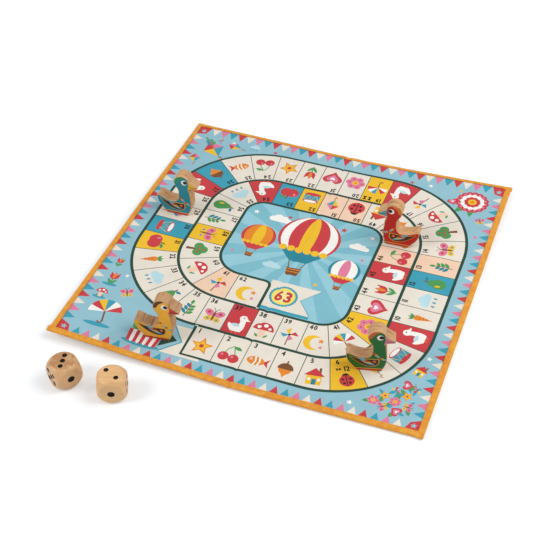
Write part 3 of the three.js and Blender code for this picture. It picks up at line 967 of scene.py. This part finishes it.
def lift(x, y):
    """Height of the cloth above its flat half, in millimetres."""
    u, v = np.abs(x) / HALF_SIDE, (y + HALF_SIDE) / (2 * HALF_SIDE)
    height = bulge(x, FOLD_BULGE, FOLD_BULGE_REACH) + bulge(x, CREASE_BULGE, CREASE_REACH)
    right = FAR_RIGHT_LIFT * smooth(FAR_RIGHT_START, 1, v)
    right = right + NEAR_RIGHT_LIFT * smooth(NEAR_RIGHT_START, 1, 1 - v)
    left = NEAR_LEFT_LIFT * smooth(LEFT_START, 1, 1 - v) - FAR_LEFT_DROP * smooth(LEFT_START, 1, v)
    height = height + np.where(x > 0, u ** RIGHT_LIFT_POWER * right, u ** LEFT_LIFT_POWER * left)
    ridge = CROSS_FOLD_RIDGE * np.exp(-np.abs(y) / CROSS_FOLD_REACH)
    height = height + ridge * smooth(CROSS_FOLD_START, CROSS_FOLD_FULL, np.abs(x))
    waves = WAVE_HEIGHT * wave(x, y, *WAVES_ACROSS) * wave(y, x, *WAVES_ALONG)
    height = height + waves * smooth(HALF_SIDE, FIELD_EDGE, np.maximum(np.abs(x), np.abs(y)))
    for pawn in PAWNS.values():
        height = height * smooth(PAWN_CLEAR_RADIUS, PAWN_FREE_RADIUS, np.hypot(x - pawn["x"], y - pawn["y"]))
    return UNDER_PAWN_LIFT + height


def lie(points):
    """Metres of points on the board, from flat (x, y, height) in millimetres."""
    x, y, z = np.array(points, float).T
    z = z + lift(x, y)
    slip = np.where(y > 0, FAR_FOLD_SLIP, NEAR_FOLD_SLIP) * (1 - np.abs(x) / HALF_SIDE)
    y = y - slip * smooth(FOLD_SLIP_START, HALF_SIDE, np.abs(y))
    c, s = math.cos(math.radians(LEFT_LEAN)), math.sin(math.radians(LEFT_LEAN))
    raised = z - FOLD_AXIS_HEIGHT
    left_x, left_z = x * c + raised * s, FOLD_AXIS_HEIGHT - x * s + raised * c
    return np.column_stack([np.where(x < 0, left_x, x), y, np.where(x < 0, left_z, z)]) * MM


def edge_rise(flat):
    """How far the cloth rises at its bound edges into the binding."""
    return CLOTH_RISE * smooth(FIELD_EDGE, SEAT_EDGE, np.abs(flat).max(1))


# Meshes

def add_object(name, data):
    obj = bpy.data.objects.new(name, data)
    bpy.context.scene.collection.objects.link(obj)
    return obj


def mesh_object(name, points, faces, materials, material_ids=None, smooth_angle=40.0):
    mesh = bpy.data.meshes.new(name)
    mesh.from_pydata([tuple(p) for p in points], [], faces)
    for material in materials:
        mesh.materials.append(material)
    if material_ids is not None:
        mesh.polygons.foreach_set("material_index", np.array(material_ids, np.int32))
    mesh.polygons.foreach_set("use_smooth", np.ones(len(mesh.polygons), bool))
    mesh.validate()
    mesh.update()
    mesh.set_sharp_from_angle(angle=math.radians(smooth_angle))
    return add_object(name, mesh)


def translation(x, y, z):
    return Matrix.Translation(Vector((x, y, z)) * MM)


def rotation(degrees, axis):
    return Matrix.Rotation(math.radians(degrees), 4, axis)


def bridge(a, b):
    """Faces between two rings of numbered points."""
    return [(a[i - 1], b[i - 1], b[i], a[i]) for i in range(len(a))]


def tube_faces(first, rings, sides):
    """Faces of a tube with closed ends, whose rings of points are numbered from first."""
    starts = range(first, first + rings * sides, sides)
    loops = [tuple(range(start, start + sides)) for start in starts]
    faces = [face for a, b in zip(loops, loops[1:]) for face in bridge(a, b)]
    return faces + [loops[0], loops[-1][::-1]]


def inside(loops, points):
    """Which points lie inside a set of loops, counting a loop within a loop as a hole."""
    found = np.zeros(len(points), bool)
    x, y = points.T
    for loop in loops:
        for (ax, ay), (bx, by) in zip(loop, [*loop[1:], loop[0]]):
            if ay != by:
                found ^= ((ay > y) != (by > y)) & (x < ax + (y - ay) * (bx - ax) / (by - ay))
    return found


def divided(path, longest):
    """An open path with points added until no step is longer than that."""
    points = [path[0]]
    for a, b in zip(path, path[1:]):
        parts = math.ceil(math.dist(a, b) / longest)
        for i in range(1, parts + 1):
            points.append((a[0] + (b[0] - a[0]) * i / parts, a[1] + (b[1] - a[1]) * i / parts))
    return points


def partition(shapes, outline, extra_points=(), extra_lines=(), longest=5.0):
    """Triangles of the area inside outline, cut along every shape, each with the number of its top shape."""
    points, edges = [], []
    loops = [outline] + [loop for shape_loops, _ in shapes for loop in shape_loops]
    for line in [[*loop, loop[0]] for loop in loops] + list(extra_lines):
        steps = divided(line, longest)
        edges.extend((len(points) + i, len(points) + i + 1) for i in range(len(steps) - 1))
        points.extend(steps)
    points.extend(extra_points)
    cut, _, faces, _, _, _ = delaunay_2d_cdt([Vector(p) for p in points], edges, [], 0, 1e-4)
    cut, faces = np.array([tuple(p) for p in cut]), np.array(faces)
    middles = cut[faces].mean(1)
    kept = inside([outline], middles)
    faces, middles = faces[kept], middles[kept]
    top = np.full(len(faces), -1)
    for i, (shape_loops, _) in enumerate(shapes):
        extent = np.vstack(shape_loops)
        near = np.nonzero(((middles >= extent.min(0)) & (middles <= extent.max(0))).all(1))[0]
        if len(near):
            top[near[inside(shape_loops, middles[near])]] = i
    used, renumbered = np.unique(faces, return_inverse=True)
    return cut[used], [tuple(face) for face in renumbered.reshape(faces.shape).tolist()], top


# Board

FOLD_LINES = [*np.linspace(-FOLD_HALF_WIDTH, FOLD_HALF_WIDTH, 9), -13, -9, 9, 13]
CROSS_FOLD_LINES = (-4.0, 0.0, 4.0)
GRID = np.arange(-200.0, 200.1, 10.0)


def cloth():
    """The printed cloth in one piece across the fold: its top cut along the print, and a plain back."""
    digits = digit_outlines()
    outline = box(-CLOTH_EDGE, -CLOTH_EDGE, CLOTH_EDGE, CLOTH_EDGE)
    shapes = draw("ground", outline) + corners() + border() + centre(digits) + track(digits)
    dots = [(x, y) for x in GRID for y in GRID if abs(x) > max(FOLD_LINES)]
    lines = [((x, -CLOTH_EDGE), (x, CLOTH_EDGE)) for x in FOLD_LINES]
    lines += [((-CLOTH_EDGE, y), (CLOTH_EDGE, y)) for y in CROSS_FOLD_LINES]
    flat, faces, top = partition(shapes, outline, dots, lines)
    rim = boundary_loops(faces)[0]
    back, back_faces, _ = partition([], [tuple(flat[i]) for i in rim], dots, lines, longest=6.0)
    upper = lie(np.column_stack([flat, edge_rise(flat) + CLOTH_THICKNESS]))
    lower = lie(np.column_stack([back, edge_rise(back)]))
    names = list(PRINT)
    ids = [names.index(shapes[i][1]) for i in top]
    below = {tuple(np.round(p, 3)): i + len(flat) for i, p in enumerate(back)}
    faces += [tuple(i + len(flat) for i in face[::-1]) for face in back_faces]
    faces += bridge(rim, [below[tuple(np.round(flat[i], 3))] for i in rim])
    ids += [len(names)] * (len(faces) - len(ids))
    materials = [cloth_material(f"cloth {n}", colour) for n, colour in [*PRINT.items(), ("back", BACKING)]]
    return mesh_object("board_cloth", np.vstack([upper, lower]), faces, materials, ids)


def binding_section():
    """Section of the folded tape: inward distance and height, once round from the inner lower edge."""
    top, width, tape, ease = BINDING_HEIGHT, BINDING_WIDTH, TAPE_THICKNESS, TAPE_EASE
    nose = arc(top / 2, top / 2, top / 2, 270, 90, 13)
    dents = ((2.4, 0), (3.4, 0.02), (4.4, 0.08), (STITCH_INSET, STITCH_DENT), (6.0, 0.06))
    face = [(inward, top - dent) for inward, dent in dents]
    lip = [(width - ease, top), (width, top - ease), (width, top - tape)]
    pocket = [(4.0, top - tape), (tape, top - tape), (tape, tape), (4.0, tape)]
    return [(width - ease, 0), *nose, *face, *lip, *pocket, (width, tape), (width, ease)]


def tape_inset(side, along, inward):
    """Distance inward on the top of the tape, spread over the width that the tape has there."""
    nose = BINDING_HEIGHT / 2
    if inward <= nose:
        return inward
    beside = TAPE_WIDTHS[(side + (1 if along > 0 else -1)) % 4]
    turn = 0.5 * smooth(HALF_SIDE - WIDTH_CHANGE_LENGTH, PRINT_EDGE, abs(along))
    width = TAPE_WIDTHS[side] * (1 - turn) + beside * turn
    return nose + (inward - nose) * (width - nose) / (BINDING_WIDTH - nose)


def side_point(side, along, inward, height):
    """A point of the binding on one of the four sides, counted round from the right-hand side."""
    x, y = HALF_SIDE - inward, along
    for _ in range(side):
        x, y = -y, x
    return (x, y, height)


def tape_point(side, share, inward, height):
    """A point of the tape at a share of its side's half length: distance along, inward and height."""
    along, inset, to_end = share * (HALF_SIDE - inward), inward, HALF_SIDE * (1 - abs(share))
    mitre = share == 1.0
    if height > BINDING_HEIGHT / 2:
        inset = tape_inset(side, along, inward)
        pucker = math.sin(along / SHORT_PUCKER + side) * math.sin(along / LONG_PUCKER + 2 * side)
        height += TAPE_PUCKER * pucker
        height -= MITRE_SINK if mitre and inward > TAPE_THICKNESS else 0.0
    if mitre:
        along = HALF_SIDE - inset
    outer = max(0.0, 1 - inward / BINDING_WIDTH)
    if share > 0:
        skew = CORNER_EAR_AT_TIP + (1 - CORNER_EAR_AT_TIP) * min(1.0, to_end / CORNER_EAR_LENGTH)
        start, full = CORNER_EAR_LENGTH + CORNER_EAR_SLOPE, CORNER_EAR_LENGTH - CORNER_EAR_SLOPE
        inset -= CORNER_EARS[side] * outer * skew * smooth(start, full, to_end)
    else:
        along -= CORNER_EARS[side - 1] * outer * CORNER_EAR_AT_TIP * smooth(CORNER_EAR_LENGTH, 0, to_end)
    return along, inset, height


def binding():
    """The folded tape round the whole edge, mitred at the corners, in one closed ring."""
    section = binding_section()
    shares = [
        -0.9965, -0.99, *np.linspace(-0.98, -0.05, 34), *np.linspace(-0.04, 0.04, 13),
        *np.linspace(0.05, 0.955, 33), 0.9625, 0.967, 0.975, 0.985, 0.9965, 1.0,
    ]
    points, rings = [], []
    for side in range(4):
        for share in shares:
            rings.append(range(len(points), len(points) + len(section)))
            points += [side_point(side, *tape_point(side, share, *p)) for p in section]
    faces = [face for i in range(len(rings)) for face in bridge(rings[i], rings[i - 1])]
    return mesh_object("board_binding", lie(points), faces, [tape_material()], smooth_angle=50)


def stitches():
    """Running stitch of the binding, near the inner edge of its tape."""
    count = int(2 * (HALF_SIDE - STITCH_INSET - STITCH_END_GAP) / STITCH_PITCH)
    points, faces = [], []
    for side in range(4):
        for i in range(count):
            faces += tube_faces(len(points), len(STITCH_PROFILE), STITCH_SIDES)
            for share, swell in STITCH_PROFILE:
                along = (i + 0.5 - count / 2) * STITCH_PITCH + share * STITCH_LENGTH
                inset = tape_inset(side, along, STITCH_INSET)
                height = BINDING_HEIGHT - STITCH_DENT + STITCH_STAND - STITCH_SAG * share * share
                loop = circle(inset, height, STITCH_RADIUS * swell, STITCH_SIDES)
                points += [side_point(side, along, *p) for p in loop]
    return mesh_object("binding_stitches", lie(points), faces, [thread_material()], smooth_angle=70)


# Pawns

def outward(loop):
    """Outward steps of one unit at the corners of a closed loop that runs counter-clockwise."""
    step = np.roll(loop, -1, axis=0) - loop
    step /= np.linalg.norm(step, axis=1)[:, None]
    after = np.column_stack([step[:, 1], -step[:, 0]])
    joined = np.roll(after, 1, axis=0) + after
    return joined / np.maximum((joined * after).sum(1), 0.7)[:, None]


def wing(grow):
    """Outline of a pawn's folded wing, larger by that much."""
    start, tip, low = (9.0 + grow, 17.5 + grow), (-21.0 - grow, 21.0 + grow / 2), 3.0 - grow
    under = curve(start, (13.0 + grow, low + 1), (-6.0, low - 1), tip, 16)
    return [start] + under + curve(tip, (-12, 15.5 + grow), (-2, 17.0 + grow), start, 12)[:-1]


def pawn_print():
    """Print on the flat sides of a pawn: beak, eye, cap, a string of beads, a folded wing and a base band."""
    head = draw(
        "beak", [(8.0, 9), (7.6, 3), (8.6, -2), (7.2, -8), (24, -14), (24, 9)],
        "dark", stroke([(9.2, -3.4), (12, -4.6), (17, -4.9)], 0.5),
        "cap", arc(0, 0, HEAD_RADIUS + 2, 70, 200, 12) + arc(4.4, -2.4, HEAD_RADIUS, 170, 108, 7),
        "white", circle(3.0, 0.8, 3.6, 26), "dark", circle(4.2, 1.0, 2.4, 20))
    beads = [circle(19.5 - 15 * t, 17.0 + 9 * t * t, 1.5, 14) for t in np.linspace(0, 1, 8)]
    feathers = [leaf(6.5 - 3.4 * i, 8.6 + 2.1 * i, 17.0 - 2.2 * i, 3.4, 158 - 3 * i, 9) for i in range(4)]
    return placed(head, HEAD_FORWARD, PAWN_HEIGHT - HEAD_RADIUS, 100) + draw(
        *coloured(("gold", "trim", "sky") * 3, beads), "gold", wing(0.9), "wing", wing(0.0),
        *coloured(("sky", "gold", "trim", "sky"), feathers),
        "trim", circle(5.2, 14.2, 2.0, 16), "gold", circle(5.2, 14.2, 0.9, 12),
        "trim", box(-30, 0.2, 30, 3.2), "gold", box(-30, 3.2, 30, 4.0))


def pawn_mesh(name, place):
    """A flat goose of wood with eased bare edges and printed sides, about its own base."""
    fine = np.array(goose_outline())
    shapes = draw("body", box(-40, -5, 40, 70)) + pawn_print()
    flat, faces, top = partition(shapes, [tuple(p) for p in fine - outward(fine) * PAWN_EDGE_EASE])
    palette = {**{part: place[part] for part in ("body", "beak", "cap")}, **PAWN_PRINT}
    names = list(palette)
    ids = [1 + names.index(shapes[i][1]) for i in top] * 2
    rim, half = boundary_loops(faces)[0], PAWN_THICKNESS / 2
    points = [(x, y, z) for y in (-half, half) for x, z in flat]
    faces += [tuple(i + len(flat) for i in face[::-1]) for face in faces]
    rings = [rim]
    eased = [(half - PAWN_EDGE_EASE * (1 - math.cos(a)), math.sin(a)) for a in np.radians((30, 60, 90))]
    for y, out in [(-y, out) for y, out in eased] + eased[::-1]:
        rings.append(range(len(points), len(points) + len(rim)))
        points += [(x, y, z) for x, z in flat[rim] + out * PAWN_EDGE_EASE * outward(flat[rim])]
    rings.append([i + len(flat) for i in rim])
    for a, b in zip(rings, rings[1:]):
        faces += bridge(a, b)
    ids += [0] * (len(faces) - len(ids))
    wood = wood_material(
        f"{name} wood", WOOD_LIGHT, WOOD_DARK, place["grain"], gain=place["gain"], shift=place["shift"])
    materials = [wood] + [paint_material(f"{name} {n}", palette[n]) for n in names]
    return mesh_object(name, np.array(points) * MM, faces, materials, ids, smooth_angle=35)


def pawn(colour, place):
    obj = pawn_mesh(f"pawn_{colour}_print", place)
    local = translation(place["x"], place["y"], PAWN_REST) @ rotation(place["turn"], "Z")
    if place["x"] < 0:
        axis = translation(0, 0, FOLD_AXIS_HEIGHT)
        local = axis @ rotation(LEFT_LEAN, "Y") @ axis.inverted() @ local
    obj.matrix_world = local
    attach(obj, f"pawn_{colour}")
    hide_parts(f"goose_pawn_{colour}")


# Dice: each face's way out, its two axes and its pips

CORNER_PIPS = [(-1, -1), (-1, 1), (1, -1), (1, 1)]
DIE_FACES = [
    ((1, 0, 0), (0, 1, 0), (0, 0, 1), [(0, 0)]),
    ((0, 1, 0), (1, 0, 0), (0, 0, 1), [(1, -1), (-1, 1)]),
    ((0, 0, 1), (1, 0, 0), (0, 1, 0), [(-1, 1), (0, 0), (1, -1)]),
    ((0, 0, -1), (1, 0, 0), (0, 1, 0), CORNER_PIPS),
    ((0, -1, 0), (1, 0, 0), (0, 0, 1), CORNER_PIPS + [(0, 0)]),
    ((-1, 0, 0), (0, 1, 0), (0, 0, 1), CORNER_PIPS + [(-1, 0), (1, 0)]),
]


def die_body():
    """Points and faces of a cube turned down to a ball, with a soft line between flat and ball."""
    half, ball = DIE_EDGE / 2, DIE_BALL / 2
    points, index, faces = [], {}, []

    def corner(p):
        key = tuple(np.round(p, 6))
        if key not in index:
            index[key] = len(points)
            way = p / np.linalg.norm(p)
            flat = np.abs(way).max() / half
            points.append(way / (flat ** DIE_BLEND + ball ** -DIE_BLEND) ** (1 / DIE_BLEND))
        return index[key]

    steps = half * np.tan(np.linspace(-math.pi / 4, math.pi / 4, DIE_GRID + 1))
    for *axes, _ in DIE_FACES:
        out, across, up = np.array(axes, float)
        order = -1 if np.dot(np.cross(across, up), out) < 0 else 1
        for i in range(DIE_GRID):
            for j in range(DIE_GRID):
                quad = [(i, j), (i + 1, j), (i + 1, j + 1), (i, j + 1)][::order]
                faces.append(tuple(corner(out * half + across * steps[a] + up * steps[b]) for a, b in quad))
    return points, faces


def pip_drills():
    """Round-nosed drills for all the pips of a die, as one mesh."""
    points, faces = [], []
    for *axes, pips in DIE_FACES:
        out, across, up = np.array(axes, float)
        right = np.cross(up, out)
        radius = SINGLE_PIP_RADIUS if len(pips) == 1 else PIP_RADIUS
        for a, b in pips:
            middle = out * DIE_EDGE / 2 + (across * a + up * b) * PIP_SPACING
            faces += tube_faces(len(points), len(DRILL_PROFILE), DRILL_SIDES)
            for share, depth in DRILL_PROFILE:
                loop = circle(0, 0, radius * share, DRILL_SIDES)
                points += [middle + out * depth + right * u + up * v for u, v in loop]
    return points, faces


def die(name, place, black):
    colours = place["light"], place["dark"]
    wood = wood_material(f"{name} beech", *colours, DIE_GRAIN, roughness=0.34, end_shade=0.15)
    points, faces = die_body()
    obj = mesh_object(f"{name}_wood", np.array(points) * MM, faces, [wood, black])
    points, faces = pip_drills()
    drill = mesh_object(f"{name}_drill", np.array(points) * MM, faces, [wood, black], [1] * len(faces))
    cut = obj.modifiers.new("pips", "BOOLEAN")
    cut.object = drill
    cut.operation = "DIFFERENCE"
    cut.solver = "EXACT"
    shaped = bpy.data.meshes.new_from_object(obj.evaluated_get(bpy.context.evaluated_depsgraph_get()))
    obj.modifiers.clear()
    obj.data = shaped
    bpy.data.objects.remove(drill)
    shaped.set_sharp_from_angle(angle=math.radians(38))
    turn = rotation(place["turn"], "Z") @ rotation(place["roll"], "X")
    obj.matrix_world = translation(place["x"], place["y"], DIE_EDGE / 2) @ turn
    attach(obj, name)
    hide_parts(name)


# The set

def make_board():
    board, edge, thread = cloth(), binding(), stitches()
    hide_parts("mat_right_half", "mat_left_half")
    ends = ("right", "left", "far_right", "far_left", "near_right", "near_left")
    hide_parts(*[f"binding_{end}" for end in ends])
    for piece in (board, edge, thread):
        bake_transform(piece)


make_board()
for pawn_colour, pawn_place in PAWNS.items():
    pawn(pawn_colour, pawn_place)
pip_black = paint_material("pip black", PIP_COLOUR, roughness=0.8)
for die_name, die_place in DICE.items():
    die(die_name, die_place, pip_black)


# Floor, light and camera

FLOOR_SIZE = 6.0
FLOOR_DROP = 0.0001
FLOOR_COLOUR = (0.83, 0.86, 0.885, 1)
FLOOR_GLOW, FAR_FLOOR_GLOW = 0.19, 0.6
GLOW_START, GLOW_END = 0.36, 0.7
WHITE = (1, 1, 1, 1)
WORLD_LIGHT = 0.46
CAMERA_AT = (0.34222, -0.98117, 0.93395)
CAMERA_DOWN = 42.70
CAMERA_AROUND = 19.92
CAMERA_LENS = 78.55
CAMERA_SHIFT_X = -0.0171
CAMERA_SHIFT_Y = 0.0018

# Lamps: place, the point that they face, size and power
LAMPS = {
    "overhead": ((0.95, 0.2, 1.25), (0.05, 0, 0), 1.2, 15.0),
    "front": ((-1.1, -0.9, 1.0), (0, -0.05, 0), 0.8, 10.5),
}


def floor():
    """A pale floor that shows white where no shadow falls."""
    half = FLOOR_SIZE / 2
    points = [(x, y, -FLOOR_DROP) for x, y in box(-half, -half, half, half)]
    nodes = surface("floor", roughness=0.9, specular=0.0)
    away = nodes.add("VectorMath", [("operation", "LENGTH")], Vector=nodes.coordinates()).outputs["Value"]
    levels = {"From_Min": GLOW_START, "From_Max": GLOW_END, "To_Min": FLOOR_GLOW, "To_Max": FAR_FLOOR_GLOW}
    glow = nodes.add("MapRange", Value=away, **levels).outputs["Result"]
    seen = nodes.add("LightPath").outputs["Is Camera Ray"]
    strength = nodes.math("MULTIPLY", seen, glow)
    nodes.put(nodes.shader, Base_Color=FLOOR_COLOUR, Emission_Color=WHITE, Emission_Strength=strength)
    mesh_object("floor", points, [(0, 1, 2, 3)], [nodes.owner])


def lamps():
    for name, (place, target, size, power) in LAMPS.items():
        lamp = bpy.data.lights.new(name, "AREA")
        lamp.shape = "SQUARE"
        lamp.size = size
        lamp.energy = power
        obj = add_object(name, lamp)
        obj.location = place
        obj.rotation_euler = (Vector(target) - Vector(place)).to_track_quat("-Z", "Y").to_euler()


def world():
    """Even light from all round, behind which the camera sees white."""
    sky = bpy.data.worlds.new("studio")
    bpy.context.scene.world = sky
    nodes = Nodes(sky, "Background", Color=WHITE)
    seen = nodes.add("LightPath").outputs["Is Camera Ray"]
    nodes.put(nodes.shader, Strength=nodes.math("MULTIPLY_ADD", seen, 1 - WORLD_LIGHT, WORLD_LIGHT))


def camera():
    data = bpy.data.cameras.new("camera")
    data.lens = CAMERA_LENS
    data.sensor_width = 36.0
    data.shift_x = CAMERA_SHIFT_X
    data.shift_y = CAMERA_SHIFT_Y
    data.clip_start, data.clip_end = 0.05, 20.0
    obj = add_object("camera", data)
    obj.location = CAMERA_AT
    obj.rotation_euler = (math.radians(90 - CAMERA_DOWN), 0, math.radians(CAMERA_AROUND))
    bpy.context.scene.camera = obj


floor()
lamps()
world()
camera()
bpy.context.scene.view_settings.view_transform = "Standard"
